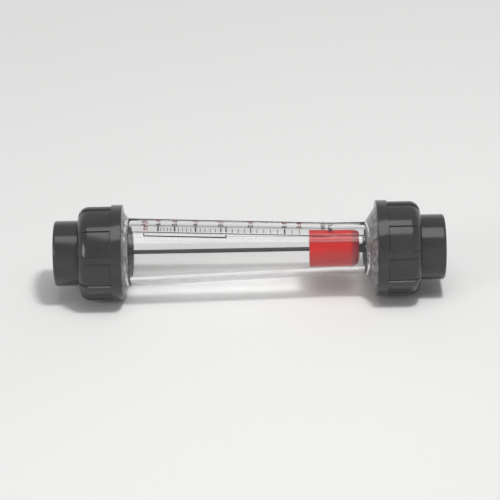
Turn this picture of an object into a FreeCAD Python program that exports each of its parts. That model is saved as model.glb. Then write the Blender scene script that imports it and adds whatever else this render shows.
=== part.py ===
import FreeCAD, Part
import math
import os
import Sketcher
from FreeCAD import Placement, Rotation, Vector

# Variable area flow meter for 63 mm pipe: a clear tapered tube between two union ends,
# with a float that rides up a guide rod. It lies on its two union nuts, the scale flat on top,
# because the flat takes weight off that side.
# +X runs with the flow, from the inlet to the outlet, and +Z is up.
# The origin is on the floor, under the middle of the meter. Lengths are in millimetres.

sizes = {
    # metering tube
    "tubeLength": 371,
    "inletBoreRadius": 22.7,
    "outletBoreRadius": 30.7,
    "inletWall": 8.6,
    "outletWall": 10,
    "straightLength": 90,
    "inletShoulder": 12.5,
    "outletShoulder": 6.5,
    "facetHalfWidth": 17.3,
    "inletSeatDepth": 39,
    "outletSeatDepth": 32,
    "seatStep": 4.3,
    # threaded collars at both ends of the tube
    "collarLength": 35,
    "collarRing": 5,
    "threadRadius": 50.6,
    "threadDepth": 1.4,
    "threadClearance": 0.4,
    # pipe connectors
    "socketRadius": 31.6,
    "socketWall": 7.4,
    "socketDepth": 38,
    "connectorLength": 46.7,
    "connectorRounding": 3,
    "socketLeadIn": 1.5,
    "throughRadius": 26,
    "flangeThickness": 8.6,
    "flangeClearance": 1.2,
    "edgeBreak": 0.8,
    "sealGap": 0.3,
    "ringSection": 5.3,
    "ringFit": 0.05,
    # union nuts
    "nutEndWall": 8.5,
    "nutRim": 6,
    "nutBand": 13,
    "nutShoulder": 13,
    "nutHoleClearance": 0.4,
    "nutFaceGap": 0.1,
    "ribCount": 9,
    "ribAngle": 7,
    "ribTurn": 10,
    "panelDepth": 2,
    # guide rod with its washers and nuts
    "rodRadius": 2.5,
    "rodFit": 0.1,
    "rodOverrun": 3,
    "rodChamfer": 0.5,
    "washerRadius": 5,
    "washerThickness": 1,
    "rodNutHeight": 4,
    "rodNutAcross": 8,
    # rod guides, bumpers and retaining rings
    "guideThickness": 8,
    "guideFit": 0.1,
    "hubRadius": 4.7,
    "hubFlare": 2.8,
    "inletHubReach": 10.5,
    "outletHubReach": 8,
    "spokeCount": 3,
    "spokeAngle": 24,
    "bumperRadius": 5.5,
    "bumperThickness": 4.5,
    "circlipThickness": 2.4,
    "circlipHeight": 3.2,
    "circlipGrip": 1.2,
    "circlipFit": 0.1,
    "circlipOpening": 40,
    # float
    "floatLength": 60,
    "floatClearance": 1,
    "noseLength": 10,
    "noseRounding": 9.8,
    "floatWall": 2.5,
    "floatTop": 3,
    "sleeveWall": 2,
    "bushWall": 1.6,
    "bushLength": 9.5,
    "bushFit": 0.05,
    "runningFit": 0.08,
    "spigotLength": 5,
    "spigotWall": 2.5,
    "spigotFit": 0.2,
    "weightLength": 18,
    "weightFit": 0.3,
    "restGap": 0.3,
}

doc = FreeCAD.newDocument("FlowMeter")
sheet = doc.addObject("Spreadsheet::Sheet", "Sizes")
for row, (name, value) in enumerate(sizes.items(), start=1):
    sheet.set(f"A{row}", name)
    sheet.set(f"B{row}", str(value))
    sheet.setAlias(f"B{row}", name)
doc.recompute()

# Formulas that several pieces share. Each one reads the sheet, so a changed size moves them all.
coreRadius = "(Sizes.threadRadius - Sizes.threadDepth)"
nutBoreRadius = "(Sizes.threadRadius + Sizes.threadClearance)"
nutRadius = f"({nutBoreRadius} + Sizes.nutRim)"
connectorRadius = "(Sizes.socketRadius + Sizes.socketWall)"
flangeRadius = f"({coreRadius} - Sizes.flangeClearance)"
nutLength = ("(Sizes.nutEndWall + Sizes.nutFaceGap + Sizes.flangeThickness + Sizes.sealGap"
             " + Sizes.collarLength)")
nutReach = f"({nutLength} - Sizes.collarLength)"
nutHoleRadius = f"({connectorRadius} + Sizes.nutHoleClearance)"
nutShoulder = f"min(Sizes.nutShoulder; {nutRadius} - {nutHoleRadius} - Sizes.edgeBreak)"
connectorReach = "(Sizes.connectorLength + Sizes.sealGap)"
axisHeight = nutRadius
seatRadius = {
    "inlet": "(Sizes.inletBoreRadius + Sizes.seatStep)",
    "outlet": "(Sizes.outletBoreRadius + Sizes.seatStep)",
}
taperEnd = "(Sizes.tubeLength - Sizes.collarLength - Sizes.outletShoulder)"
ringRadius = f"(({seatRadius['outlet']} + {flangeRadius}) / 2)"
ringGrooveDepth = "(Sizes.ringSection - Sizes.sealGap + 2 * Sizes.ringFit)"
rodHoleRadius = "(Sizes.rodRadius + Sizes.rodFit)"
rodEndReach = "(Sizes.washerThickness + Sizes.rodNutHeight + Sizes.rodOverrun)"
floatRadius = "(Sizes.inletBoreRadius - Sizes.floatClearance)"
floatStart = ("(Sizes.inletSeatDepth + Sizes.inletHubReach + Sizes.bumperThickness"
              " + Sizes.restGap)")
bushBore = "(Sizes.rodRadius + Sizes.runningFit)"
bushRadius = f"({bushBore} + Sizes.bushWall)"
sleeveBore = f"({bushRadius} + Sizes.bushFit)"
spigotRadius = f"({floatRadius} - Sizes.floatWall - Sizes.spigotFit)"


def number(formula):
    return float(sheet.evalExpression(formula))


def originPart(body, role):
    return next(item for item in body.Origin.OriginFeatures if item.Role == role)


def newBody(label):
    body = doc.addObject("PartDesign::Body", label)
    body.Label = label
    return body


def newSketch(body, name, role):
    sketch = body.newObject("Sketcher::SketchObject", name)
    sketch.AttachmentSupport = [(originPart(body, role), "")]
    sketch.MapMode = "FlatFace"
    return sketch


def bindOrdinate(sketch, kind, edge, point, formula):
    """Dimension one ordinate of a point from the sketch origin."""
    if number(formula) == 0:
        axis = -2 if kind == "DistanceX" else -1
        sketch.addConstraint(Sketcher.Constraint("PointOnObject", edge, point, axis))
        return
    rule = Sketcher.Constraint(kind, -1, 1, edge, point, number(formula))
    index = sketch.addConstraint(rule)
    sketch.setExpression(f"Constraints[{index}]", formula)


def arcEdge(start, end, centre):
    """An arc between two corners, with the end of it that lies at its first angle."""
    fromAngle = math.atan2(start[1] - centre[1], start[0] - centre[0])
    toAngle = math.atan2(end[1] - centre[1], end[0] - centre[0])
    circle = Part.Circle(Vector(*centre, 0), Vector(0, 0, 1), math.dist(start, centre))
    if (toAngle - fromAngle) % (2 * math.pi) < math.pi:
        return Part.ArcOfCircle(circle, fromAngle, fromAngle + (toAngle - fromAngle) % (2 * math.pi)), 1
    return Part.ArcOfCircle(circle, toAngle, toAngle + (fromAngle - toAngle) % (2 * math.pi)), 2


def drawOutline(body, name, corners, role="XZ_Plane", arcs=None):
    """A closed, fully dimensioned outline. corners are pairs of formulas (along, out).

    arcs gives, for the corner that an arc leaves, the two formulas of its centre. The corner that
    the arc ends at has one ordinate of its own, and the arc gives the other.
    """
    arcs = arcs or {}
    sketch = newSketch(body, name, role)
    count = len(corners)
    places = [(number(along), number(out)) for along, out in corners]
    starts = []
    for i in range(count):
        start, end = places[i], places[(i + 1) % count]
        if i in arcs:
            centre = tuple(number(formula) for formula in arcs[i])
            edge, first = arcEdge(start, end, centre)
            starts.append(first)
        else:
            edge = Part.LineSegment(Vector(*start, 0), Vector(*end, 0))
            starts.append(1)
        sketch.addGeometry(edge, False)
    for i in range(count):
        follower = (i + 1) % count
        rule = Sketcher.Constraint("Coincident", i, 3 - starts[i], follower, starts[follower])
        sketch.addConstraint(rule)
    for i, (along, out) in enumerate(corners):
        if i - 1 in arcs:
            centre = [number(formula) for formula in arcs[i - 1]]
            steep = abs(places[i][0] - centre[0]) > abs(places[i][1] - centre[1])
            kind, formula = ("DistanceY", out) if steep else ("DistanceX", along)
            bindOrdinate(sketch, kind, i, starts[i], formula)
            continue
        if i > 0 and along == corners[i - 1][0]:
            sketch.addConstraint(Sketcher.Constraint("Vertical", i - 1))
        else:
            bindOrdinate(sketch, "DistanceX", i, starts[i], along)
        if i > 0 and out == corners[i - 1][1]:
            sketch.addConstraint(Sketcher.Constraint("Horizontal", i - 1))
        else:
            bindOrdinate(sketch, "DistanceY", i, starts[i], out)
    for i, (along, out) in arcs.items():
        bindOrdinate(sketch, "DistanceX", i, 3, along)
        bindOrdinate(sketch, "DistanceY", i, 3, out)
    return sketch


def revolve(body, name, corners, arcs=None, angle=None):
    """A solid of revolution about the body's own X axis."""
    sketch = drawOutline(body, name + "Profile", corners, arcs=arcs)
    turned = body.newObject("PartDesign::Revolution", name)
    turned.Profile = sketch
    turned.ReferenceAxis = (sketch, ["H_Axis"])
    turned.Angle = 360
    if angle:
        turned.setExpression("Angle", angle)
    sketch.Visibility = False
    doc.recompute()
    return turned


def sectorCuts(body, name, corners, angle, count, turn="0", arcs=None):
    """Equal recesses round the X axis. With no turn, the middle of a gap between two is on top."""
    sketch = drawOutline(body, name + "Profile", corners, arcs=arcs)
    sketch.AttachmentOffset = Placement(Vector(), Rotation(Vector(1, 0, 0), 0))
    sketch.setExpression("AttachmentOffset.Rotation.Angle", f"180 / {count} + {turn}")
    cut = body.newObject("PartDesign::Groove", name)
    cut.Profile = sketch
    cut.ReferenceAxis = (sketch, ["H_Axis"])
    cut.Midplane = True
    cut.setExpression("Angle", angle)
    sketch.Visibility = False
    before = cut.BaseFeature.Shape.Volume
    doc.recompute()
    if cut.Shape.Volume > before - 1:
        raise RuntimeError(f"{body.Label}: {name} cut nothing")
    pattern = body.newObject("PartDesign::PolarPattern", name + "Pattern")
    pattern.Originals = [cut]
    pattern.Axis = (sketch, ["H_Axis"])
    pattern.Angle = 360
    pattern.setExpression("Occurrences", count)
    body.Tip = pattern
    doc.recompute()
    return pattern


def dressRim(body, kind, name, base, amount, along, out):
    """Round or break the circular edge that lies at one place along and out from the axis."""
    place, radius = number(along), number(out)
    edges = []
    for i, edge in enumerate(base.Shape.Edges, start=1):
        curve = edge.Curve
        if not isinstance(curve, Part.Circle):
            continue
        if abs(curve.Center.x - place) < 1e-4 and abs(curve.Radius - radius) < 1e-4:
            edges.append(f"Edge{i}")
    if not edges:
        raise RuntimeError(f"{body.Label}: no rim at {place}, {radius}")
    dressing = body.newObject(f"PartDesign::{kind}", name)
    dressing.Base = (base, edges)
    dressing.setExpression("Radius" if kind == "Fillet" else "Size", amount)
    body.Tip = dressing
    doc.recompute()
    return dressing


def placeAtEnd(piece, end, outward):
    """Put a piece's own origin this far out from the tube's end face, its +X axis pointing inward."""
    reach = f"(Sizes.tubeLength / 2 + {outward})"
    piece.setExpression("Placement.Base.x", reach if end == "outlet" else f"-{reach}")
    piece.setExpression("Placement.Base.z", axisHeight)
    piece.Placement.Rotation = Rotation(Vector(0, 0, 1), 180 if end == "outlet" else 0)


def placeInTube(piece, along):
    """Put a piece's own origin this far up the tube from its inlet end face."""
    piece.setExpression("Placement.Base.x", f"{along} - Sizes.tubeLength / 2")
    piece.setExpression("Placement.Base.z", axisHeight)


def meteringTube():
    """Clear tapered tube with a threaded collar at each end and one flat for the scale."""
    body = newBody("metering_tube")
    collarEnd = "Sizes.collarLength"
    threadEnd = "(Sizes.collarLength - Sizes.collarRing)"
    inletRadius = "(Sizes.inletBoreRadius + Sizes.inletWall)"
    outletRadius = "(Sizes.outletBoreRadius + Sizes.outletWall)"
    outletSeat = "(Sizes.tubeLength - Sizes.outletSeatDepth)"
    tube = revolve(body, "Tube", [
        ("0", seatRadius["inlet"]),
        ("0", coreRadius),
        (threadEnd, coreRadius),
        (threadEnd, "Sizes.threadRadius"),
        (collarEnd, "Sizes.threadRadius"),
        (f"({collarEnd} + Sizes.inletShoulder)", inletRadius),
        ("Sizes.straightLength", inletRadius),
        (taperEnd, outletRadius),
        (f"(Sizes.tubeLength - {collarEnd})", "Sizes.threadRadius"),
        (f"(Sizes.tubeLength - {threadEnd})", "Sizes.threadRadius"),
        (f"(Sizes.tubeLength - {threadEnd})", coreRadius),
        ("Sizes.tubeLength", coreRadius),
        ("Sizes.tubeLength", seatRadius["outlet"]),
        (outletSeat, seatRadius["outlet"]),
        (outletSeat, "Sizes.outletBoreRadius"),
        (taperEnd, "Sizes.outletBoreRadius"),
        ("Sizes.straightLength", "Sizes.inletBoreRadius"),
        ("Sizes.inletSeatDepth", "Sizes.inletBoreRadius"),
        ("Sizes.inletSeatDepth", seatRadius["inlet"]),
    ])

    # The flat follows the taper: each end of it lies at the chord of one constant width.
    inletChord = f"sqrt({inletRadius}^2 - Sizes.facetHalfWidth^2)"
    outletChord = f"sqrt({outletRadius}^2 - Sizes.facetHalfWidth^2)"
    facetStart = f"({collarEnd} + Sizes.inletShoulder)"
    facet = drawOutline(body, "FacetProfile", [
        (facetStart, inletChord),
        ("Sizes.straightLength", inletChord),
        (taperEnd, outletChord),
        (taperEnd, "Sizes.threadRadius"),
        (facetStart, "Sizes.threadRadius"),
    ])
    flat = body.newObject("PartDesign::Pocket", "Facet")
    flat.Profile = facet
    flat.SideType = "Symmetric"
    flat.setExpression("Length", "2 * Sizes.threadRadius")
    facet.Visibility = False
    doc.recompute()
    if flat.Shape.Volume > tube.Shape.Volume - 1:
        raise RuntimeError("metering_tube: the facet cut nothing")

    # Grooves in the two seats that hold the retaining rings.
    grooves = {
        "inlet": "(Sizes.inletSeatDepth - Sizes.guideThickness - Sizes.circlipThickness"
                 " - 2 * Sizes.circlipFit)",
        "outlet": "(Sizes.tubeLength - Sizes.outletSeatDepth + Sizes.guideThickness)",
    }
    for end, start in grooves.items():
        finish = f"({start} + Sizes.circlipThickness + 2 * Sizes.circlipFit)"
        bottom = f"({seatRadius[end]} + Sizes.circlipGrip + Sizes.circlipFit)"
        profile = drawOutline(body, end + "GrooveProfile", [
            (start, "Sizes.rodRadius"),
            (start, bottom),
            (finish, bottom),
            (finish, "Sizes.rodRadius"),
        ])
        groove = body.newObject("PartDesign::Groove", end + "Groove")
        groove.Profile = profile
        groove.ReferenceAxis = (profile, ["H_Axis"])
        groove.Angle = 360
        profile.Visibility = False
        doc.recompute()
    placeInTube(body, "0")
    return body


def connector(end):
    """Solvent socket for the pipe, with a flange and a ring groove in its sealing face."""
    body = newBody(f"{end}_connector")
    flangeBack = "(Sizes.connectorLength - Sizes.flangeThickness)"
    grooveFloor = f"(Sizes.connectorLength - {ringGrooveDepth})"
    grooveInner = f"({ringRadius} - Sizes.ringSection / 2 - Sizes.ringFit)"
    grooveOuter = f"({ringRadius} + Sizes.ringSection / 2 + Sizes.ringFit)"
    turned = revolve(body, "Socket", [
        ("0", "Sizes.socketRadius"),
        ("0", connectorRadius),
        (flangeBack, connectorRadius),
        (flangeBack, flangeRadius),
        ("Sizes.connectorLength", flangeRadius),
        ("Sizes.connectorLength", grooveOuter),
        (grooveFloor, grooveOuter),
        (grooveFloor, grooveInner),
        ("Sizes.connectorLength", grooveInner),
        ("Sizes.connectorLength", "Sizes.throughRadius"),
        ("Sizes.socketDepth", "Sizes.throughRadius"),
        ("Sizes.socketDepth", "Sizes.socketRadius"),
    ])
    rounded = dressRim(body, "Fillet", "EndRounding", turned, "Sizes.connectorRounding",
                       "0", connectorRadius)
    leadIn = dressRim(body, "Chamfer", "SocketLeadIn", rounded, "Sizes.socketLeadIn",
                      "0", "Sizes.socketRadius")
    dressRim(body, "Chamfer", "FlangeEdge", leadIn, "Sizes.edgeBreak",
             "Sizes.connectorLength", flangeRadius)
    placeAtEnd(body, end, connectorReach)
    return body


def sealRing(end):
    ring = doc.addObject("Part::Torus", f"{end}_o_ring")
    ring.setExpression("Radius1", ringRadius)
    ring.setExpression("Radius2", "Sizes.ringSection / 2")
    reach = "(Sizes.tubeLength / 2 + Sizes.ringSection / 2 + Sizes.ringFit)"
    ring.Placement.Rotation = Rotation(Vector(0, 1, 0), 90)
    ring.setExpression("Placement.Base.x", reach if end == "outlet" else f"-{reach}")
    ring.setExpression("Placement.Base.z", axisHeight)
    return ring


def unionNut(end):
    """Union nut with a plain band at its mouth and ribs that run over its rounded shoulder."""
    body = newBody(f"{end}_union_nut")
    blank = revolve(body, "Blank", [
        ("0", nutHoleRadius),
        ("0", nutRadius),
        (nutLength, nutRadius),
        (nutLength, nutBoreRadius),
        ("Sizes.nutEndWall", nutBoreRadius),
        ("Sizes.nutEndWall", nutHoleRadius),
    ])
    shoulder = dressRim(body, "Fillet", "Shoulder", blank, nutShoulder, "0", nutRadius)
    mouth = dressRim(body, "Chamfer", "MouthEdge", shoulder, "Sizes.edgeBreak", nutLength, nutRadius)
    dressRim(body, "Chamfer", "ThreadLeadIn", mouth, "Sizes.edgeBreak", nutLength, nutBoreRadius)

    # A panel between two ribs is a shallow recess with a larger rounding, which runs out
    # on the end face where the rib's own rounding starts.
    panelRadius = f"({nutRadius} - Sizes.panelDepth)"
    panelEnd = f"({nutLength} - Sizes.nutBand)"
    runOut = f"({nutRadius} - {nutShoulder} + Sizes.edgeBreak)"
    drop = f"({panelRadius} - {runOut})"
    rounding = f"(({nutShoulder}^2 + {drop}^2) / (2 * {drop}))"
    sectorCuts(body, "Panels", [
        (panelEnd, panelRadius),
        (nutShoulder, panelRadius),
        ("0", runOut),
        ("0", f"({nutRadius} + Sizes.panelDepth)"),
        (panelEnd, f"({nutRadius} + Sizes.panelDepth)"),
    ], "360 / Sizes.ribCount - Sizes.ribAngle", "Sizes.ribCount",
        turn="Sizes.ribTurn" if end == "inlet" else "-Sizes.ribTurn",
        arcs={1: (nutShoulder, f"({panelRadius} - {rounding})")})
    placeAtEnd(body, end, nutReach)
    return body


def rodGuide(end):
    """Spoked disc that holds the guide rod in the middle of the tube."""
    body = newBody(f"{end}_rod_guide")
    boreRadius = f"Sizes.{end}BoreRadius"
    hubEnd = f"(Sizes.guideThickness + Sizes.{end}HubReach)"
    flareRadius = "(Sizes.hubRadius + Sizes.hubFlare)"
    revolve(body, "Disc", [
        ("0", rodHoleRadius),
        ("0", f"({seatRadius[end]} - Sizes.guideFit)"),
        ("Sizes.guideThickness", f"({seatRadius[end]} - Sizes.guideFit)"),
        ("Sizes.guideThickness", flareRadius),
        ("(Sizes.guideThickness + Sizes.hubFlare)", "Sizes.hubRadius"),
        (hubEnd, "Sizes.hubRadius"),
        (hubEnd, rodHoleRadius),
    ])
    sectorCuts(body, "Windows", [
        ("0", flareRadius),
        ("0", boreRadius),
        ("Sizes.guideThickness", boreRadius),
        ("Sizes.guideThickness", flareRadius),
    ], "360 / Sizes.spokeCount - Sizes.spokeAngle", "Sizes.spokeCount")
    placeAtEnd(body, end, f"(Sizes.guideThickness - Sizes.{end}SeatDepth)")
    return body


def retainingRing(end):
    """Open spring ring that keeps the rod guide on its step."""
    body = newBody(f"{end}_retaining_ring")
    outer = f"({seatRadius[end]} + Sizes.circlipGrip)"
    revolve(body, "Ring", [
        ("0", f"({outer} - Sizes.circlipHeight)"),
        ("0", outer),
        ("Sizes.circlipThickness", outer),
        ("Sizes.circlipThickness", f"({outer} - Sizes.circlipHeight)"),
    ], angle="360 - Sizes.circlipOpening")
    outward = f"(Sizes.guideThickness + Sizes.circlipThickness + Sizes.circlipFit - Sizes.{end}SeatDepth)"
    placeAtEnd(body, end, outward)
    return body


def bumper(end):
    """Soft ring at the tip of the guide's hub, where the float comes to a stop."""
    body = newBody(f"{end}_bumper")
    revolve(body, "Ring", [
        ("0", rodHoleRadius),
        ("0", "Sizes.bumperRadius"),
        ("Sizes.bumperThickness", "Sizes.bumperRadius"),
        ("Sizes.bumperThickness", rodHoleRadius),
    ])
    placeAtEnd(body, end, f"(0 - Sizes.{end}SeatDepth - Sizes.{end}HubReach)")
    return body


def guideRod():
    body = newBody("guide_rod")
    length = (f"(Sizes.tubeLength - Sizes.inletSeatDepth - Sizes.outletSeatDepth"
              f" + 2 * (Sizes.guideThickness + {rodEndReach}))")
    rod = revolve(body, "Rod", [
        ("0", "0"),
        ("0", "Sizes.rodRadius"),
        (length, "Sizes.rodRadius"),
        (length, "0"),
    ])
    nearEnd = dressRim(body, "Chamfer", "InletPoint", rod, "Sizes.rodChamfer", "0", "Sizes.rodRadius")
    dressRim(body, "Chamfer", "OutletPoint", nearEnd, "Sizes.rodChamfer", length, "Sizes.rodRadius")
    placeInTube(body, f"(Sizes.inletSeatDepth - Sizes.guideThickness - {rodEndReach})")
    return body


def rodWasher(end):
    body = newBody(f"{end}_rod_washer")
    revolve(body, "Washer", [
        ("0", rodHoleRadius),
        ("0", "Sizes.washerRadius"),
        ("Sizes.washerThickness", "Sizes.washerRadius"),
        ("Sizes.washerThickness", rodHoleRadius),
    ])
    placeAtEnd(body, end, f"(Sizes.guideThickness + Sizes.washerThickness - Sizes.{end}SeatDepth)")
    return body


def rodNut(end):
    """Hexagon nut on the rod's threaded end."""
    blank = doc.addObject("Part::Prism", f"{end}NutBlank")
    blank.Polygon = 6
    blank.setExpression("Circumradius", "Sizes.rodNutAcross / sqrt(3)")
    blank.setExpression("Height", "Sizes.rodNutHeight")
    hole = doc.addObject("Part::Cylinder", f"{end}NutHole")
    hole.setExpression("Radius", rodHoleRadius)
    hole.setExpression("Height", "Sizes.rodNutHeight")
    nut = doc.addObject("Part::Cut", f"{end}_rod_nut")
    nut.Base = blank
    nut.Tool = hole
    outward = (f"(Sizes.tubeLength / 2 + Sizes.guideThickness + Sizes.washerThickness"
               f" - Sizes.{end}SeatDepth)")
    nut.Placement.Rotation = Rotation(Vector(0, 1, 0), 90 if end == "outlet" else -90)
    nut.setExpression("Placement.Base.x", outward if end == "outlet" else f"-{outward}")
    nut.setExpression("Placement.Base.z", axisHeight)
    return nut


def floatBody():
    """Hollow float shell with a flat reading edge and a sleeve round the rod."""
    body = newBody("float_body")
    innerRadius = f"({floatRadius} - Sizes.floatWall)"
    sleeveRadius = f"({sleeveBore} + Sizes.sleeveWall)"
    length = "(Sizes.floatLength - Sizes.noseLength)"
    under = f"({length} - Sizes.floatTop)"
    revolve(body, "Shell", [
        ("0", innerRadius),
        ("0", floatRadius),
        (length, floatRadius),
        (length, sleeveBore),
        ("0", sleeveBore),
        ("0", sleeveRadius),
        (under, sleeveRadius),
        (under, innerRadius),
    ])
    placeInTube(body, f"({floatStart} + Sizes.noseLength)")
    return body


def floatNose():
    """Rounded cap that closes the float at its lower end."""
    body = newBody("float_nose")
    arcCentre = f"({floatRadius} - Sizes.noseRounding)"
    spigotEnd = "(Sizes.noseLength + Sizes.spigotLength)"
    spigotBore = f"({spigotRadius} - Sizes.spigotWall)"
    revolve(body, "Cap", [
        ("0", sleeveBore),
        ("Sizes.noseLength", sleeveBore),
        ("Sizes.noseLength", spigotBore),
        (spigotEnd, spigotBore),
        (spigotEnd, spigotRadius),
        ("Sizes.noseLength", spigotRadius),
        ("Sizes.noseLength", floatRadius),
        ("Sizes.noseRounding", floatRadius),
        ("0", arcCentre),
    ], arcs={7: ("Sizes.noseRounding", arcCentre)})
    placeInTube(body, floatStart)
    return body


def floatWeight():
    """Ring of metal that rests on the cap's spigot and sets the measuring range."""
    body = newBody("float_weight")
    inner = f"({sleeveBore} + Sizes.sleeveWall + Sizes.weightFit)"
    outer = f"({floatRadius} - Sizes.floatWall - Sizes.weightFit)"
    revolve(body, "Ring", [
        ("0", inner),
        ("0", outer),
        ("Sizes.weightLength", outer),
        ("Sizes.weightLength", inner),
    ])
    placeInTube(body, f"({floatStart} + Sizes.noseLength + Sizes.spigotLength)")
    return body


def floatBush(name, along):
    body = newBody(name)
    revolve(body, "Bush", [
        ("0", bushBore),
        ("0", bushRadius),
        ("Sizes.bushLength", bushRadius),
        ("Sizes.bushLength", bushBore),
    ])
    placeInTube(body, along)
    return body


pieces = [meteringTube(), guideRod(), floatBody(), floatNose(), floatWeight()]
pieces.append(floatBush("float_lower_bush", floatStart))
pieces.append(floatBush("float_upper_bush", f"({floatStart} + Sizes.floatLength - Sizes.bushLength)"))
for endName in ("inlet", "outlet"):
    for makePiece in (connector, sealRing, unionNut, rodGuide, retainingRing, bumper, rodWasher, rodNut):
        pieces.append(makePiece(endName))
doc.recompute()

# Nothing is written unless the whole document is sound.
for item in doc.Objects:
    if "Invalid" in item.State or "Error" in item.State:
        raise RuntimeError(f"{item.Label} failed: {item.State}")
for piece in pieces:
    if piece.Shape.isNull() or not piece.Shape.isValid() or len(piece.Shape.Solids) != 1:
        raise RuntimeError(f"{piece.Label} is not one sound solid")

os.makedirs("parts", exist_ok=True)
for piece in pieces:
    piece.Shape.exportStep(f"parts/{piece.Label}.step")
    print(f"{piece.Label}: {piece.Shape.Volume / 1000:.2f} cm3")
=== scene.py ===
from math import asin, atan2, cos, pi, radians, sin, sqrt

import bmesh
import bpy
from mathutils import Matrix, Vector


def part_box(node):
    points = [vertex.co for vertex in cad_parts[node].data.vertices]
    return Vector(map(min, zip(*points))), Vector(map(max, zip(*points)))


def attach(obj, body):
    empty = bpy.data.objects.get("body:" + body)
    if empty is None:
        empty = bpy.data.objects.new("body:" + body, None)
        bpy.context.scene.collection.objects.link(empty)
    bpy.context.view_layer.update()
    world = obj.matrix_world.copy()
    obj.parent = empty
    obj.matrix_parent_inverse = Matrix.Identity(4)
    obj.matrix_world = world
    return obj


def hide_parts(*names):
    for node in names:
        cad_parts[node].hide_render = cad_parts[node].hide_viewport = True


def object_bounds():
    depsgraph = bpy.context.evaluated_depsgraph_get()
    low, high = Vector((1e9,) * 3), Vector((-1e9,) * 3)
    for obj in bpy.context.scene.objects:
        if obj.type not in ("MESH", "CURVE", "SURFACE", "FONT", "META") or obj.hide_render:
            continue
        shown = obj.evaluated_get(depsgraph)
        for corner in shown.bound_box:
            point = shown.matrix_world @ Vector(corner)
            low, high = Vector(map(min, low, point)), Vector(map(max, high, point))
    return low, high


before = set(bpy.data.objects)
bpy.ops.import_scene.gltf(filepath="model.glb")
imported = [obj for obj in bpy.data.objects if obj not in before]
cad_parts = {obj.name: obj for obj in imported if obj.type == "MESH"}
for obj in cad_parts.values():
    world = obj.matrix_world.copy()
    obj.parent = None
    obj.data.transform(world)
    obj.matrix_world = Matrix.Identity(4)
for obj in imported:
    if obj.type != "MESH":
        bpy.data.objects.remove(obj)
cadLow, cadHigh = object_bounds()
scene = bpy.context.scene

# The meter lies along X. Everything round is built round its axis, at this height.
rodLow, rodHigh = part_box("guide_rod")
axisZ = (rodLow.z + rodHigh.z) / 2
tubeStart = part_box("metering_tube")[0].x
mm = 0.001

# Sizes shared by the dressed pieces, in millimetres.
tube = {
    "length": 371,
    "inletBore": 22.7,
    "outletBore": 30.7,
    "inletRadius": 31.3,
    "outletRadius": 40.7,
    "straight": 90,
    "inletShoulder": 12.5,
    "outletShoulder": 6.5,
    "inletSeat": 27.0,
    "outletSeat": 35.0,
    "inletSeatDepth": 39,
    "outletSeatDepth": 32,
    "collar": 35,
    "collarRing": 5,
    "ringRadius": 50.6,
    "coreRadius": 49.2,
    "facetHalfWidth": 17.3,
    "facetBreak": 0.7,
    "endEdge": 0.8,
    "waistEdge": 1.5,
    "steps": 192,
}
ringStart = tube["collar"] - tube["collarRing"]
shoulderEnd = tube["collar"] + tube["inletShoulder"]
taperEnd = tube["length"] - tube["collar"] - tube["outletShoulder"]
inletChord = sqrt(tube["inletRadius"] ** 2 - tube["facetHalfWidth"] ** 2)
outletChord = sqrt(tube["outletRadius"] ** 2 - tube["facetHalfWidth"] ** 2)
thread = {
    "pitch": 6,
    "turns": 4.2,
    "start": 3,
    "collarRoot": 49.0,
    "collarCrest": 50.6,
    "nutRoot": 51.2,
    "nutCrest": 49.6,
    "rootWidth": 2.6,
    "crestWidth": 1.1,
    "stepsPerTurn": 72,
}
nut = {
    "radius": 57,
    "bore": 51,
    "hole": 39.4,
    "length": 52.5,
    "endWall": 8.5,
    "shoulder": 13,
    "ribs": 9,
    "ribAngle": 7,
    "ribTurn": 10,
    "panelEnd": 39.5,
    "panelDepth": 2,
    "runOut": 44.8,
    "slope": 0.7,
    "edge": 0.7,
    "faceEdge": 1.0,
    "cornerBreak": 0.6,
    "steps": 360,
}


def srgb(code):
    parts = [int(code[i:i + 2], 16) / 255 for i in (1, 3, 5)]
    return [c / 12.92 if c <= 0.04045 else ((c + 0.055) / 1.055) ** 2.4 for c in parts] + [1]


def addNode(tree, kind, settings=None, inputs=None):
    node = tree.nodes.new(kind)
    for name, value in (settings or {}).items():
        setattr(node, name, value)
    for name, value in (inputs or {}).items():
        socket = node.inputs[name]
        if isinstance(value, tuple) and isinstance(value[0], bpy.types.Node):
            tree.links.new(value[0].outputs[value[1]], socket)
        else:
            socket.default_value = value
    return node


def newMaterial(name):
    material = bpy.data.materials.new(name)
    material.use_nodes = True
    material.node_tree.nodes.clear()
    return material, material.node_tree


def finishMaterial(tree, shader, name="BSDF"):
    addNode(tree, "ShaderNodeOutputMaterial", inputs={"Surface": (shader, name)})


def colourRamp(tree, source, stops):
    ramp = addNode(tree, "ShaderNodeValToRGB", inputs={"Fac": source})
    while len(ramp.color_ramp.elements) < len(stops):
        ramp.color_ramp.elements.new(0.5)
    for element, (place, colour) in zip(ramp.color_ramp.elements, stops):
        element.position = place
        element.color = colour
    return ramp


def valueRange(tree, source, low, high):
    return addNode(tree, "ShaderNodeMapRange", inputs={
        "Value": source, "To Min": low, "To Max": high})


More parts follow.
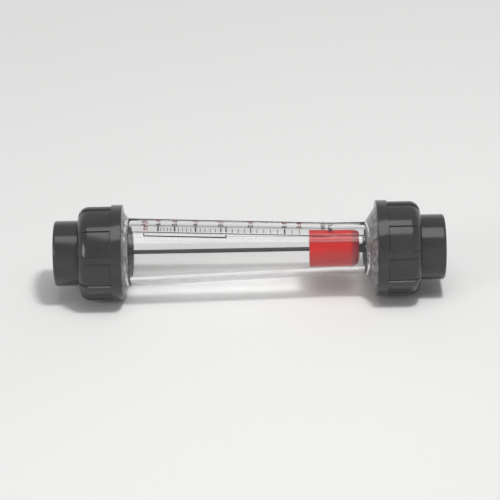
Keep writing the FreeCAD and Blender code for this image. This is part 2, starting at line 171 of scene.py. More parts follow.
def mouldedPvc(name, look):
    # Injection moulded PVC: nearly black grey, satin, with faint flow clouds and a fine eggshell skin.
    material, tree = newMaterial(name)
    place = addNode(tree, "ShaderNodeTexCoord")
    clouds = addNode(tree, "ShaderNodeTexNoise", inputs={
        "Vector": (place, "Object"), "Scale": 1 / (look["cloudSize"] * mm), "Detail": 4.0})
    skin = addNode(tree, "ShaderNodeTexNoise", inputs={
        "Vector": (place, "Object"), "Scale": 1 / (look["skinSize"] * mm), "Detail": 3.0})
    tone = colourRamp(tree, (clouds, "Fac"), [(0.3, srgb(look["dark"])), (0.7, srgb(look["light"]))])
    gloss = valueRange(tree, (clouds, "Fac"), look["roughness"] - 0.05, look["roughness"] + 0.05)
    bump = addNode(tree, "ShaderNodeBump", inputs={
        "Height": (skin, "Fac"), "Strength": look["bump"], "Distance": 0.05 * mm})
    shader = addNode(tree, "ShaderNodeBsdfPrincipled", inputs={
        "Base Color": (tone, "Color"), "Roughness": (gloss, "Result"), "IOR": 1.54,
        "Normal": (bump, "Normal")})
    finishMaterial(tree, shader)
    return material


acrylicIndex = 1.49


def clearAcrylic(name, look):
    # Moulded acrylic: water clear, polished, a trace of grey in the thick walls. A ray that has met
    # the walls twice goes on straight, so that none is caught inside them and comes out black.
    material, tree = newMaterial(name)
    place = addNode(tree, "ShaderNodeTexCoord")
    ripple = addNode(tree, "ShaderNodeTexNoise", inputs={
        "Vector": (place, "Object"), "Scale": 1 / (look["rippleSize"] * mm), "Detail": 1.0})
    bump = addNode(tree, "ShaderNodeBump", inputs={
        "Height": (ripple, "Fac"), "Strength": look["bump"], "Distance": 0.1 * mm})
    gloss = valueRange(tree, (ripple, "Fac"), 0.0, look["roughness"])
    path = addNode(tree, "ShaderNodeLightPath")
    caught = addNode(tree, "ShaderNodeMath", {"operation": "GREATER_THAN"}, {
        0: (path, "Ray Depth"), 1: look["turns"]})
    bend = valueRange(tree, (caught, "Value"), acrylicIndex, 1.0)
    shader = addNode(tree, "ShaderNodeBsdfPrincipled", inputs={
        "Base Color": srgb(look["colour"]), "Roughness": (gloss, "Result"),
        "IOR": (bend, "Result"), "Transmission Weight": 1.0, "Normal": (bump, "Normal")})
    # A lamp's rays pass the middle of the tube and are thrown aside by its steep edges.
    steep = addNode(tree, "ShaderNodeLayerWeight", inputs={"Blend": 0.5})
    passed = colourRamp(tree, (steep, "Facing"), [
        (0.22, srgb(look["shadow"])), (0.6, srgb(look["shadowEdge"]))])
    through = addNode(tree, "ShaderNodeBsdfTransparent", inputs={"Color": (passed, "Color")})
    mix = addNode(tree, "ShaderNodeMixShader", inputs={"Fac": (path, "Is Shadow Ray")})
    tree.links.new(shader.outputs["BSDF"], mix.inputs[1])
    tree.links.new(through.outputs["BSDF"], mix.inputs[2])
    finishMaterial(tree, mix, "Shader")
    return material


def satinAcrylic(name, look):
    # The same acrylic where the mould was left rough: it scatters light and looks like wet ice.
    material, tree = newMaterial(name)
    place = addNode(tree, "ShaderNodeTexCoord")
    ice = addNode(tree, "ShaderNodeTexNoise", inputs={
        "Vector": (place, "Object"), "Scale": 1 / (look["iceSize"] * mm), "Detail": 2.0})
    bump = addNode(tree, "ShaderNodeBump", inputs={
        "Height": (ice, "Fac"), "Strength": look["bump"], "Distance": 1.4 * mm})
    tone = colourRamp(tree, (ice, "Fac"), [(0.35, srgb(look["dark"])), (0.65, srgb(look["light"]))])
    gloss = valueRange(tree, (ice, "Fac"), look["roughness"] - 0.06, look["roughness"] + 0.06)
    shader = addNode(tree, "ShaderNodeBsdfPrincipled", inputs={
        "Base Color": (tone, "Color"), "Roughness": (gloss, "Result"), "IOR": acrylicIndex,
        "Transmission Weight": look["clear"], "Normal": (bump, "Normal")})
    finishMaterial(tree, shader)
    return material


def turnedPlastic(name, look):
    # Lathe turned plastic: even colour with faint tool rings across the axis.
    material, tree = newMaterial(name)
    place = addNode(tree, "ShaderNodeTexCoord")
    rings = addNode(tree, "ShaderNodeTexWave", {"bands_direction": "X"}, {
        "Vector": (place, "Object"), "Scale": 0.314 / (look["ringPitch"] * mm), "Distortion": 0.4,
        "Detail": 1.0})
    clouds = addNode(tree, "ShaderNodeTexNoise", inputs={
        "Vector": (place, "Object"), "Scale": 1 / (12 * mm), "Detail": 3.0})
    tone = colourRamp(tree, (clouds, "Fac"), [(0.3, srgb(look["dark"])), (0.7, srgb(look["light"]))])
    gloss = valueRange(tree, (rings, "Fac"), look["roughness"] - 0.04, look["roughness"] + 0.04)
    bump = addNode(tree, "ShaderNodeBump", inputs={
        "Height": (rings, "Fac"), "Strength": look["bump"], "Distance": 0.02 * mm})
    shader = addNode(tree, "ShaderNodeBsdfPrincipled", inputs={
        "Base Color": (tone, "Color"), "Roughness": (gloss, "Result"), "IOR": 1.5,
        "Specular IOR Level": look["polish"], "Normal": (bump, "Normal")})
    finishMaterial(tree, shader)
    return material


def drawnSteel(name, look):
    # Drawn stainless steel: fine lines along the rod.
    material, tree = newMaterial(name)
    place = addNode(tree, "ShaderNodeTexCoord")
    along = addNode(tree, "ShaderNodeMapping", inputs={
        "Vector": (place, "Object"), "Scale": (0.02, 1.0, 1.0)})
    lines = addNode(tree, "ShaderNodeTexNoise", inputs={
        "Vector": (along, "Vector"), "Scale": 1 / (look["lineSize"] * mm), "Detail": 2.0})
    tone = colourRamp(tree, (lines, "Fac"), [(0.3, srgb(look["dark"])), (0.7, srgb(look["light"]))])
    gloss = valueRange(tree, (lines, "Fac"), look["roughness"] - 0.06, look["roughness"] + 0.06)
    shader = addNode(tree, "ShaderNodeBsdfPrincipled", inputs={
        "Base Color": (tone, "Color"), "Metallic": 1.0, "Roughness": (gloss, "Result")})
    finishMaterial(tree, shader)
    return material


def softRubber(name, look):
    # Moulded rubber: matt, with a little dust bloom.
    material, tree = newMaterial(name)
    place = addNode(tree, "ShaderNodeTexCoord")
    bloom = addNode(tree, "ShaderNodeTexNoise", inputs={
        "Vector": (place, "Object"), "Scale": 1 / (3 * mm), "Detail": 4.0})
    tone = colourRamp(tree, (bloom, "Fac"), [(0.35, srgb(look["dark"])), (0.75, srgb(look["light"]))])
    shader = addNode(tree, "ShaderNodeBsdfPrincipled", inputs={
        "Base Color": (tone, "Color"), "Roughness": look["roughness"]})
    finishMaterial(tree, shader)
    return material


def printedInk(name, look):
    # Screen printed ink: matt and slightly uneven in cover.
    material, tree = newMaterial(name)
    place = addNode(tree, "ShaderNodeTexCoord")
    cover = addNode(tree, "ShaderNodeTexNoise", inputs={
        "Vector": (place, "Object"), "Scale": 1 / (0.8 * mm), "Detail": 2.0})
    tone = colourRamp(tree, (cover, "Fac"), [(0.3, srgb(look["dark"])), (0.7, srgb(look["light"]))])
    shader = addNode(tree, "ShaderNodeBsdfPrincipled", inputs={
        "Base Color": (tone, "Color"), "Roughness": 0.6})
    finishMaterial(tree, shader)
    return material


greyPvc = mouldedPvc("moulded grey PVC", {
    "dark": "#2f2f30", "light": "#373738", "roughness": 0.15, "bump": 0.2,
    "cloudSize": 30, "skinSize": 0.7})
clearTube = clearAcrylic("clear moulded acrylic", {
    "colour": "#f5f5f5", "shadow": "#e8e8e8", "shadowEdge": "#404040", "roughness": 0.01,
    "bump": 0.04, "rippleSize": 25, "turns": 1.5})
satinCollar = satinAcrylic("satin moulded acrylic", {
    "dark": "#aaa8ab", "light": "#ffffff", "roughness": 0.08, "clear": 0.74, "bump": 1.0,
    "iceSize": 7})
floatRed = turnedPlastic("turned red plastic", {
    "dark": "#b00804", "light": "#ba0c08", "roughness": 0.4, "bump": 0.2, "ringPitch": 0.5,
    "polish": 0.12})
noseRed = turnedPlastic("turned dark red plastic", {
    "dark": "#8a0c18", "light": "#94121e", "roughness": 0.36, "bump": 0.2, "ringPitch": 0.5,
    "polish": 0.25})
# Painted dark reflection: the stainless steel is coloured far darker than bare steel, standing in for the
# dark surroundings the rod mirrors through the tube.
stainless = drawnSteel("drawn stainless steel", {
    "dark": "#3e3e40", "light": "#545456", "roughness": 0.32, "lineSize": 0.3})
springSteel = drawnSteel("phosphated spring steel", {
    "dark": "#3a3a3b", "light": "#4a4a4c", "roughness": 0.45, "lineSize": 0.5})
rubber = softRubber("black moulded rubber", {"dark": "#151515", "light": "#232323", "roughness": 0.7})
whiteBush = turnedPlastic("white low friction plastic", {
    "dark": "#e4e3de", "light": "#efeeea", "roughness": 0.45, "bump": 0.1, "ringPitch": 0.4,
    "polish": 0.4})
blackInk = printedInk("black screen ink", {"dark": "#141315", "light": "#201f22"})
redInk = printedInk("dark red screen ink", {"dark": "#5e1024", "light": "#70162c"})
# Grey of painted shade: the dark line along each brink of the flat is painted on as strips.
paintedBrinkShade = printedInk("painted brink shade", {"dark": "#545253", "light": "#605e5f"})
print("materials ready")


def addPiece(name, mesh, material, body, smooth=35):
    piece = bpy.data.objects.new(name, mesh)
    scene.collection.objects.link(piece)
    mesh.materials.append(material)
    mesh.shade_smooth()
    if smooth:
        mesh.set_sharp_from_angle(angle=radians(smooth))
    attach(piece, body)
    return piece


def meshFrom(bm, name):
    mesh = bpy.data.meshes.new(name)
    bm.to_mesh(mesh)
    bm.free()
    return mesh


def finishedMesh(holder):
    # A new mesh of what the object's modifiers or text make.
    bpy.context.view_layer.update()
    return bpy.data.meshes.new_from_object(holder.evaluated_get(bpy.context.evaluated_depsgraph_get()))


def spinOutline(outline, steps, turn=0.0):
    # Closed (along, out) outline in millimetres, spun round X.
    bm = bmesh.new()
    ring = [bm.verts.new((along * mm, 0, out * mm)) for along, out in outline]
    edges = [bm.edges.new((ring[i], ring[(i + 1) % len(ring)])) for i in range(len(ring))]
    bmesh.ops.rotate(bm, verts=ring, cent=(0, 0, 0), matrix=Matrix.Rotation(turn, 3, "X"))
    bmesh.ops.spin(bm, geom=ring + edges, cent=(0, 0, 0), axis=(1, 0, 0), angle=2 * pi,
                   steps=steps, use_merge=True)
    bmesh.ops.remove_doubles(bm, verts=bm.verts, dist=1e-7)
    bmesh.ops.recalc_face_normals(bm, faces=bm.faces)
    return bm


def softenRims(bm, rims, width, segments):
    # Round the circular edges that lie at these (along, out) places.
    edges = []
    for edge in bm.edges:
        ends = [(v.co.x / mm, sqrt(v.co.y ** 2 + v.co.z ** 2) / mm) for v in edge.verts]
        for along, out in rims:
            if all(abs(a - along) < 0.01 and abs(o - out) < 0.02 for a, o in ends):
                edges.append(edge)
                break
    bmesh.ops.bevel(bm, geom=edges, offset=width * mm, segments=segments, profile=0.5,
                    affect="EDGES", material=-1, clamp_overlap=True)


def addThread(bm, start, root, crest):
    # A right-handed ridge: a small outline swept round X while it moves along.
    foot, top = thread["rootWidth"] / 2, thread["crestWidth"] / 2
    outline = [(start - foot, root), (start - top, crest), (start + top, crest), (start + foot, root)]
    verts = [bm.verts.new((along * mm, 0, out * mm)) for along, out in outline]
    face = bm.faces.new(verts)
    count = round(thread["turns"] * thread["stepsPerTurn"])
    swept = bmesh.ops.spin(bm, geom=list(face.edges), cent=(0, 0, 0), axis=(1, 0, 0),
                           angle=2 * pi * thread["turns"],
                           dvec=(thread["turns"] * thread["pitch"] * mm / count, 0, 0),
                           steps=count, use_merge=False)
    last = [item for item in swept["geom_last"] if isinstance(item, bmesh.types.BMEdge)]
    bmesh.ops.contextual_create(bm, geom=last)


def finishAtEnd(bm, end, start):
    # Put a piece built from its outer end inward at one end of the meter.
    if end == "outlet":
        bmesh.ops.rotate(bm, verts=bm.verts, cent=(0, 0, 0), matrix=Matrix.Rotation(pi, 3, "Z"))
    bmesh.ops.translate(bm, verts=bm.verts, vec=(start, 0, axisZ))


def tubeBody():
    # The tube before the flat is cut: collars, shoulders, cone and stepped bores.
    t = tube
    bm = spinOutline([
        (0, t["inletSeat"]), (0, t["coreRadius"]),
        (ringStart, t["coreRadius"]), (ringStart, t["ringRadius"]),
        (t["collar"], t["ringRadius"]), (shoulderEnd, t["inletRadius"]),
        (t["straight"], t["inletRadius"]), (taperEnd, t["outletRadius"]),
        (t["length"] - t["collar"], t["ringRadius"]), (t["length"] - ringStart, t["ringRadius"]),
        (t["length"] - ringStart, t["coreRadius"]), (t["length"], t["coreRadius"]),
        (t["length"], t["outletSeat"]),
        (t["length"] - t["outletSeatDepth"], t["outletSeat"]),
        (t["length"] - t["outletSeatDepth"], t["outletBore"]),
        (taperEnd, t["outletBore"]), (t["straight"], t["inletBore"]),
        (t["inletSeatDepth"], t["inletBore"]), (t["inletSeatDepth"], t["inletSeat"]),
    ], t["steps"])
    softenRims(bm, [(0, t["coreRadius"]), (t["length"], t["coreRadius"])], t["endEdge"], 2)
    softenRims(bm, [(shoulderEnd, t["inletRadius"]), (taperEnd, t["outletRadius"])], t["waistEdge"], 4)
    return bm


def flatWedge():
    # What the flat takes off the tube. Its underside follows the taper.
    reach = tube["ringRadius"]
    wedge = bmesh.new()
    side = [wedge.verts.new((x * mm, -reach * mm, z * mm)) for x, z in [
        (shoulderEnd, inletChord), (tube["straight"], inletChord), (taperEnd, outletChord),
        (taperEnd, reach), (shoulderEnd, reach)]]
    face = wedge.faces.new(side)
    moved = bmesh.ops.extrude_face_region(wedge, geom=[face])
    bmesh.ops.translate(wedge, vec=(0, 2 * reach * mm, 0),
                        verts=[v for v in moved["geom"] if isinstance(v, bmesh.types.BMVert)])
    bmesh.ops.recalc_face_normals(wedge, faces=wedge.faces)
    return wedge


def breakBrinks(mesh):
    # Bevel the two long edges of the flat.
    bm = bmesh.new()
    bm.from_mesh(mesh)
    bmesh.ops.remove_doubles(bm, verts=bm.verts, dist=1e-6)
    brinks = []
    for edge in bm.edges:
        lowest = min(v.co.z for v in edge.verts) - axisZ
        beside = all(abs(abs(v.co.y) / mm - tube["facetHalfWidth"]) < 0.6 for v in edge.verts)
        if beside and lowest > inletChord * mm * 0.98 and edge.calc_length() > 8 * mm:
            brinks.append(edge)
    bmesh.ops.bevel(bm, geom=brinks, offset=tube["facetBreak"] * mm, segments=2, profile=0.5,
                    affect="EDGES", material=-1)
    bm.to_mesh(mesh)
    bm.free()


def roughenShoulders(mesh):
    # The shoulders and the collars' rings came out of the mould satin.
    t = tube
    mesh.materials.append(satinCollar)
    for face in mesh.polygons:
        centre = face.center - Vector((tubeStart, 0, axisZ))
        along = min(centre.x, t["length"] * mm - centre.x) / mm
        out = sqrt(centre.y ** 2 + centre.z ** 2) / mm
        shoulder = t["inletShoulder"] if centre.x < t["length"] * mm / 2 else t["outletShoulder"]
        beyondTube = out > t["inletRadius"] + 1 and face.normal.x != 0
        if beyondTube and ringStart < along < t["collar"] + shoulder:
            face.material_index = 1


def makeTube():
    body, wedge = tubeBody(), flatWedge()
    for part in (body, wedge):
        bmesh.ops.translate(part, verts=part.verts, vec=(tubeStart, 0, axisZ))
    cutter = bpy.data.objects.new("facet_cutter", meshFrom(wedge, "facet_cutter"))
    scene.collection.objects.link(cutter)
    piece = addPiece("clear_metering_tube", meshFrom(body, "clear_metering_tube"), clearTube,
                     "meter", smooth=None)
    cut = piece.modifiers.new("facet", "BOOLEAN")
    cut.operation = "DIFFERENCE"
    cut.object = cutter
    cut.solver = "EXACT"
    shaped = finishedMesh(piece)
    piece.modifiers.clear()
    breakBrinks(shaped)
    piece.data = shaped
    bpy.data.objects.remove(cutter)
    roughenShoulders(shaped)
    shaped.shade_smooth()
    shaped.set_sharp_from_angle(angle=radians(12))
    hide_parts("metering_tube")


def makeCollarThreads():
    # The screw ridges of the two collars.
    for end in ("inlet", "outlet"):
        ridge = bmesh.new()
        addThread(ridge, thread["start"], thread["collarRoot"], thread["collarCrest"])
        bmesh.ops.recalc_face_normals(ridge, faces=ridge.faces)
        finishAtEnd(ridge, end, tubeStart if end == "inlet" else tubeStart + tube["length"] * mm)
        addPiece(f"{end}_collar_thread", meshFrom(ridge, f"{end}_collar_thread"), clearTube,
                 "meter")


def panelRadiusAt(along):
    # A panel's own rounding is larger than the ribs', so it runs out where the end face starts.
    top = nut["radius"] - nut["panelDepth"]
    if along >= nut["shoulder"]:
        return top
    drop = top - nut["runOut"]
    rounding = (nut["shoulder"] ** 2 + drop ** 2) / (2 * drop)
    return top - rounding + sqrt(rounding ** 2 - (nut["shoulder"] - along) ** 2)


def makeNut(end):
    n = nut
    bm = spinOutline([
        (0, n["hole"]), (0, n["radius"]), (n["panelEnd"], n["radius"]), (n["length"], n["radius"]),
        (n["length"], n["bore"]), (n["endWall"], n["bore"]), (n["endWall"], n["hole"]),
    ], n["steps"], turn=radians(180 / n["steps"]))
    softenRims(bm, [(0, n["radius"])], n["shoulder"], 14)
    softenRims(bm, [(0, n["hole"]), (n["length"], n["bore"])], n["edge"], 2)
    softenRims(bm, [(n["length"], n["radius"])], n["faceEdge"], 3)

    pitch = 360 / n["ribs"]
    panels = []
    for face in bm.faces:
        centre = face.calc_center_median()
        angle = abs((atan2(centre.y, centre.z) * 180 / pi + pitch / 2) % pitch - pitch / 2)
        outside = face.normal.y * centre.y + face.normal.z * centre.z > 0
        endFace = face.normal.x < -0.99
        if outside and not endFace and 0 < centre.x / mm < n["panelEnd"] and angle > n["ribAngle"] / 2:
            panels.append(face)
    bmesh.ops.inset_region(bm, faces=panels, thickness=n["slope"] * mm, depth=0, use_even_offset=True)
    for vert in {v for face in panels for v in face.verts}:
        out = sqrt(vert.co.y ** 2 + vert.co.z ** 2)
        wanted = min(out, panelRadiusAt(vert.co.x / mm) * mm)
        vert.co.y *= wanted / out
        vert.co.z *= wanted / out
    bmesh.ops.recalc_face_normals(bm, faces=bm.faces)

    # The nut is turned so that one rib stands beside the flat. At the outlet the half turn that
    # swaps the ends swaps this side too.
    turn = n["ribTurn"] if end == "inlet" else -n["ribTurn"]
    bmesh.ops.rotate(bm, verts=bm.verts, cent=(0, 0, 0), matrix=Matrix.Rotation(radians(turn), 3, "X"))
    ridgeStart = n["length"] - tube["collar"] + thread["start"] + thread["pitch"] / 2
    addThread(bm, ridgeStart, thread["nutRoot"], thread["nutCrest"])
    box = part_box(f"{end}_union_nut")
    finishAtEnd(bm, end, box[0].x if end == "inlet" else box[1].x)
    piece = addPiece(f"{end}_ribbed_nut", meshFrom(bm, f"{end}_ribbed_nut"), greyPvc,
                     f"{end}_nut", smooth=30)
    soften = piece.modifiers.new("soften", "BEVEL")
    soften.width = n["cornerBreak"] * mm
    soften.segments = 2
    soften.limit_method = "ANGLE"
    soften.angle_limit = radians(40)
    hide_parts(f"{end}_union_nut")


makeTube()
makeCollarThreads()
makeNut("inlet")
makeNut("outlet")
print("tube and nuts modelled")


scale = {
    "first": 0.6,
    "last": 6.0,
    "step": 0.2,
    "zero": 144.9,
    "slope": 48.2,
    "droop": 2.6,
    "majorSpan": (1.3, 12.2),
    "minorSpan": (3.5, 12.0),
    "majorWidth": 1.3,
    "boldFrom": 4,
    "boldWidth": 1.8,
    "minorWidth": 0.8,
    "numberHeight": 5.6,
    "numberStart": -1.5,
    "digitLength": 5.4,
    "oneLength": 2.6,
    "digitGap": 1.2,
    "decimalLength": 8.2,
    "unit": {"words": "m\u00b3/h", "at": 356, "start": 10.5, "height": 7.8, "length": 26.5},
    "water": {"words": "H2O", "at": 144.5, "start": -1, "height": 4.6, "length": 13},
    "warmth": {"words": "20\u00b0C", "at": 136, "start": 6.5, "height": 4.6, "length": 21},
    "thicken": 0.2,
    "frameFrom": 260,
    "frameTo": 357,
    "frameAcross": 20.9,
    "frameWidth": 1.5,
    "frameSteps": 12,
    "uprightHeight": 3.2,
    "uprightWidth": 1.4,
    "markAcross": 5,
    "markHeight": 14,
    "brinkSpan": (97, 375),
    "brinkWidth": 2.2,
    "brinkSteps": 23,
    "inkDepth": 0.06,
    "lift": 0.02,
}


def floatPlace(flow):
    # Distance from the inlet socket's mouth to the float's reading edge at this flow, in millimetres.
    return scale["zero"] + scale["slope"] * flow - scale["droop"] * flow * flow


def facetFrame(fromMouth, across):
    # Matrix at a point of the flat: X reads across it, Y points to the outlet, Z points outwards.
    along = fromMouth * mm + cadLow.x - tubeStart
    slope = (outletChord - inletChord) / (taperEnd - tube["straight"])
    rise = max(0, along / mm - tube["straight"])
    height = inletChord + slope * rise
    lean = -atan2(slope, 1) if rise > 0 else 0
    here = Matrix.Translation((along, across * mm, (height + scale["lift"]) * mm))
    local = here @ Matrix.Rotation(lean, 4, "Y") @ Matrix.Rotation(pi / 2, 4, "Z").inverted()
    return Matrix.Translation((tubeStart, 0, axisZ)) @ local


def addBar(bm, place, width, height):
    made = bmesh.ops.create_cube(bm, size=1.0)
    bmesh.ops.scale(bm, verts=made["verts"], vec=(width * mm, height * mm, scale["inkDepth"] * mm))
    bmesh.ops.transform(bm, verts=made["verts"], matrix=place)


def addWords(bm, text, place, height, length):
    curve = bpy.data.curves.new("lettering", "FONT")
    curve.body = text
    curve.size = height * mm / 0.72
    curve.offset = scale["thicken"] * mm
    curve.align_x = "LEFT"
    curve.align_y = "CENTER"
    curve.extrude = scale["inkDepth"] * mm / 2
    holder = bpy.data.objects.new("lettering", curve)
    scene.collection.objects.link(holder)
    letters = finishedMesh(holder)
    first = min(v.co.x for v in letters.vertices)
    last = max(v.co.x for v in letters.vertices)
    stretch = Matrix.Diagonal((length * mm / (last - first), 1, 1, 1))
    letters.transform(place @ stretch @ Matrix.Translation((-first, 0, 0)))
    bm.from_mesh(letters)
    bpy.data.objects.remove(holder)
    bpy.data.meshes.remove(letters)


def coneFrame(fromMouth, across):
    # Matrix at a point of the cone beside the flat, turned the same way as facetFrame.
    t = tube
    along = fromMouth + (cadLow.x - tubeStart) / mm
    slope = (t["outletRadius"] - t["inletRadius"]) / (taperEnd - t["straight"])
    radius = t["inletRadius"] + slope * max(0, along - t["straight"])
    angle = asin(across / radius)
    spot = Matrix.Translation((along * mm, 0, (radius + scale["lift"]) * mm))
    local = spot @ Matrix.Rotation(-atan2(slope, 1), 4, "Y") @ Matrix.Rotation(-pi / 2, 4, "Z")
    return Matrix.Translation((tubeStart, 0, axisZ)) @ Matrix.Rotation(-angle, 4, "X") @ local


def printDivisions(black, red):
    # A short tick for each step and a long one with a number for each whole one. The first is red.
    s = scale
    for i in range(round((s["last"] - s["first"]) / s["step"]) + 1):
        flow = s["first"] + i * s["step"]
        whole = abs(flow - round(flow)) < 0.01
        low, high = s["majorSpan"] if whole or i == 0 else s["minorSpan"]
        width = s["minorWidth"]
        if whole:
            width = s["boldWidth"] if flow > s["boldFrom"] - 0.5 or flow < 1.5 else s["majorWidth"]
        place = facetFrame(floatPlace(flow), (low + high) / 2)
        addBar(red if i == 0 else black, place, high - low, width)
        if whole or i == 0:
            digits = f"{flow:.1f}"
            digitLength = s["oneLength"] if digits[0] == "1" else s["digitLength"]
            place = facetFrame(floatPlace(flow), s["numberStart"] - (s["digitLength"] - digitLength) / 2)
            addWords(black if whole else red, digits[0], place, s["numberHeight"], digitLength)
            place = facetFrame(floatPlace(flow), s["numberStart"] - s["digitLength"] - s["digitGap"])
            addWords(red, digits[1:], place, s["numberHeight"], s["decimalLength"])


def printFrame(black):
    # The printed frame beside the flat, with an upright at each end and a bar on the flat itself.
    s = scale
    pitch = (s["frameTo"] - s["frameFrom"]) / s["frameSteps"]
    for i in range(s["frameSteps"]):
        middle = s["frameFrom"] + (i + 0.5) * pitch
        addBar(black, coneFrame(middle, s["frameAcross"]), s["frameWidth"], pitch + 0.2)
    between = (s["frameAcross"] + tube["facetHalfWidth"] + 0.6) / 2
    for end in (s["frameFrom"], s["frameTo"]):
        addBar(black, coneFrame(end, between), s["uprightHeight"], s["uprightWidth"])
    addBar(black, facetFrame(s["frameFrom"], s["markAcross"]), s["markHeight"], s["uprightWidth"])


def printNotes(black, red):
    # The scale's unit, and what it was drawn for, in two short columns over the float.
    s = scale
    unit, water, warmth = s["unit"], s["water"], s["warmth"]
    for ink, note in ((red, unit), (black, water), (black, warmth)):
        addWords(ink, note["words"], facetFrame(note["at"], note["start"]), note["height"],
                 note["length"])


def makeBrinkShade():
    # A grey line runs along each side of the flat: painted shade standing in for the dark line that the
    # clear brink shows.
    s = scale
    brinks = bmesh.new()
    first, last = s["brinkSpan"]
    pitch = (last - first) / s["brinkSteps"]
    for i in range(s["brinkSteps"]):
        for side in (-1, 1):
            across = side * (tube["facetHalfWidth"] - tube["facetBreak"] - s["brinkWidth"] / 2)
            addBar(brinks, facetFrame(first + (i + 0.5) * pitch, across), s["brinkWidth"], pitch + 0.1)
    addPiece("flat_brink_shade", meshFrom(brinks, "flat_brink_shade"), paintedBrinkShade, "meter", smooth=None)


def printScale():
    black = bmesh.new()
    red = bmesh.new()
    printDivisions(black, red)
    printFrame(black)
    printNotes(black, red)
    addPiece("scale_divisions", meshFrom(black, "scale_divisions"), blackInk, "meter", smooth=None)
    addPiece("scale_numbers", meshFrom(red, "scale_numbers"), redInk, "meter", smooth=None)


makeBrinkShade()
printScale()
print("scale printed")

cadFinish = {
    "guide_rod": stainless,
    "inlet_rod_nut": stainless,
    "outlet_rod_nut": stainless,
    "inlet_rod_washer": stainless,
    "outlet_rod_washer": stainless,
    "float_weight": stainless,
    "inlet_retaining_ring": springSteel,
    "outlet_retaining_ring": springSteel,
    "float_body": floatRed,
    "float_nose": noseRed,
    "float_lower_bush": whiteBush,
    "float_upper_bush": whiteBush,
    "inlet_rod_guide": greyPvc,
    "outlet_rod_guide": greyPvc,
    "inlet_connector": greyPvc,
    "outlet_connector": greyPvc,
    "inlet_union_nut": greyPvc,
    "outlet_union_nut": greyPvc,
    "metering_tube": clearTube,
    "inlet_bumper": rubber,
    "outlet_bumper": rubber,
    "inlet_o_ring": rubber,
    "outlet_o_ring": rubber,
}
for node, material in cadFinish.items():
    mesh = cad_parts[node].data
    if not mesh.materials:
        mesh.materials.append(material)
    for i in range(len(mesh.materials)):
        mesh.materials[i] = material
print("finishes set")

view = {
    "distance": 2.57,
    "elevation": 30,
    "roll": -1.06,
    "lens": 154.8,
    "aim": (-0.0005, 0.0, 0.057),
}


def makeCamera():
    camera = bpy.data.objects.new("camera", bpy.data.cameras.new("camera"))
    scene.collection.objects.link(camera)
    camera.data.lens = view["lens"]
    camera.data.sensor_width = 36
    tilt = radians(view["elevation"])
    back = Vector((0, cos(tilt), sin(tilt)))
    spot = Matrix.Translation(Vector(view["aim"]) + back * view["distance"])
    turned = back.to_track_quat("Z", "Y").to_matrix().to_4x4()
    camera.matrix_world = spot @ turned @ Matrix.Rotation(radians(view["roll"]), 4, "Z")
    camera.data.clip_start = 0.05
    camera.data.clip_end = 30
    scene.camera = camera


def backgroundRays(tree):
    # One for the rays that show a background: the camera's, polish's and clear walls' own.
    path = addNode(tree, "ShaderNodeLightPath")
    seen = addNode(tree, "ShaderNodeMath", {"operation": "MAXIMUM"}, {
        0: (path, "Is Camera Ray"), 1: (path, "Is Transmission Ray")})
    return addNode(tree, "ShaderNodeMath", {"operation": "MAXIMUM"}, {
        0: (seen, "Value"), 1: (path, "Is Glossy Ray")})


stage = {
    "colour": "#e9e9e8",
    "glowColour": "#f4f4f4",
    "glowCentre": (0.0, 0.45, 0.0),
    "glowFrom": 0.4,
    "glowTo": 2.6,
    "glow": 0.5,
    "reach": 6,
    "room": 0.28,
    "roomShown": 0.85,
    "roomHigh": 0.5,
    "roomFrom": 0.15,
    "roomTo": 0.62,
}


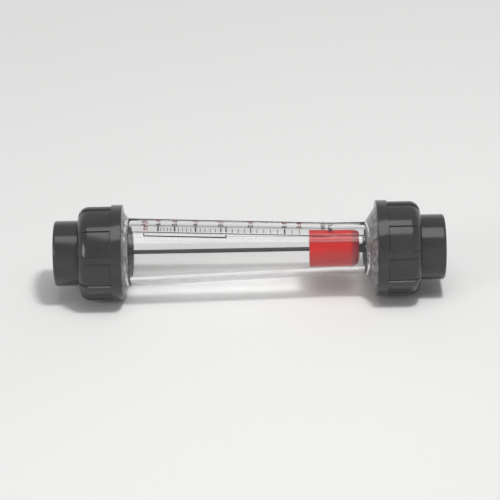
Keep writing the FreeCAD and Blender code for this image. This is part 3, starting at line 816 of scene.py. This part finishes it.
def makeStage():
    material, tree = newMaterial("pale floor")
    # The lamps light the floor round the meter; farther out it glows, so that the background stays pale.
    place = addNode(tree, "ShaderNodeTexCoord")
    away = addNode(tree, "ShaderNodeVectorMath", {"operation": "DISTANCE"}, {
        0: (place, "Object"), 1: stage["glowCentre"]})
    glow = addNode(tree, "ShaderNodeMapRange", inputs={
        "Value": (away, "Value"), "From Min": stage["glowFrom"], "From Max": stage["glowTo"],
        "To Min": 0.0, "To Max": stage["glow"]})
    shown = addNode(tree, "ShaderNodeMath", {"operation": "MULTIPLY"}, {
        0: (glow, "Result"), 1: (backgroundRays(tree), "Value")})
    shader = addNode(tree, "ShaderNodeBsdfPrincipled", inputs={
        "Base Color": srgb(stage["colour"]), "Roughness": 0.8, "Specular IOR Level": 0.0,
        "Emission Color": srgb(stage["glowColour"]), "Emission Strength": (shown, "Value")})
    finishMaterial(tree, shader)
    bm = bmesh.new()
    bmesh.ops.create_grid(bm, x_segments=1, y_segments=1, size=stage["reach"])
    bmesh.ops.translate(bm, verts=bm.verts, vec=(0, 0, cadLow.z - 0.0002))
    floor = bpy.data.objects.new("floor", meshFrom(bm, "floor"))
    scene.collection.objects.link(floor)
    floor.data.materials.append(material)
    # The room is pale as a background and dimmer as a lamp; polish shows it pale at the horizon and
    # dimmer higher up.
    world = bpy.data.worlds.new("soft room")
    world.use_nodes = True
    world.node_tree.nodes.clear()
    tree = world.node_tree
    direction = addNode(tree, "ShaderNodeTexCoord")
    height = addNode(tree, "ShaderNodeSeparateXYZ", inputs={"Vector": (direction, "Generated")})
    mirrored = addNode(tree, "ShaderNodeMapRange", inputs={
        "Value": (height, "Z"), "From Min": stage["roomFrom"], "From Max": stage["roomTo"],
        "To Min": stage["roomShown"], "To Max": stage["roomHigh"]})
    path = addNode(tree, "ShaderNodeLightPath")
    shown = valueRange(tree, (path, "Is Glossy Ray"), stage["roomShown"], (mirrored, "Result"))
    level = valueRange(tree, (backgroundRays(tree), "Value"), stage["room"], (shown, "Result"))
    glow = addNode(tree, "ShaderNodeBackground", inputs={
        "Color": srgb(stage["glowColour"]), "Strength": (level, "Result")})
    addNode(tree, "ShaderNodeOutputWorld", inputs={"Surface": (glow, "Background")})
    scene.world = world


lamps = {
    "overhead softbox": {"place": (-0.12, 0.35, 1.85), "size": 1.15, "power": 9, "gleam": True},
    "key": {"place": (-0.32, 0.5, 1.75), "size": 0.25, "power": 16.5, "gleam": False},
    "left fill": {"place": (1.3, 1.0, 0.8), "size": 0.7, "power": 6, "gleam": True},
}


def makeLamps():
    for name, lamp in lamps.items():
        data = bpy.data.lights.new(name, "AREA")
        data.size = lamp["size"]
        data.energy = lamp["power"]
        light = bpy.data.objects.new(name, data)
        scene.collection.objects.link(light)
        light.visible_glossy = lamp["gleam"]
        place = Vector(lamp["place"])
        aim = Vector((0, 0, axisZ)) - place
        light.matrix_world = Matrix.Translation(place) @ aim.to_track_quat("-Z", "Y").to_matrix().to_4x4()


makeCamera()
makeStage()
makeLamps()
scene.view_settings.view_transform = "Standard"
print("camera, floor and lamps placed")
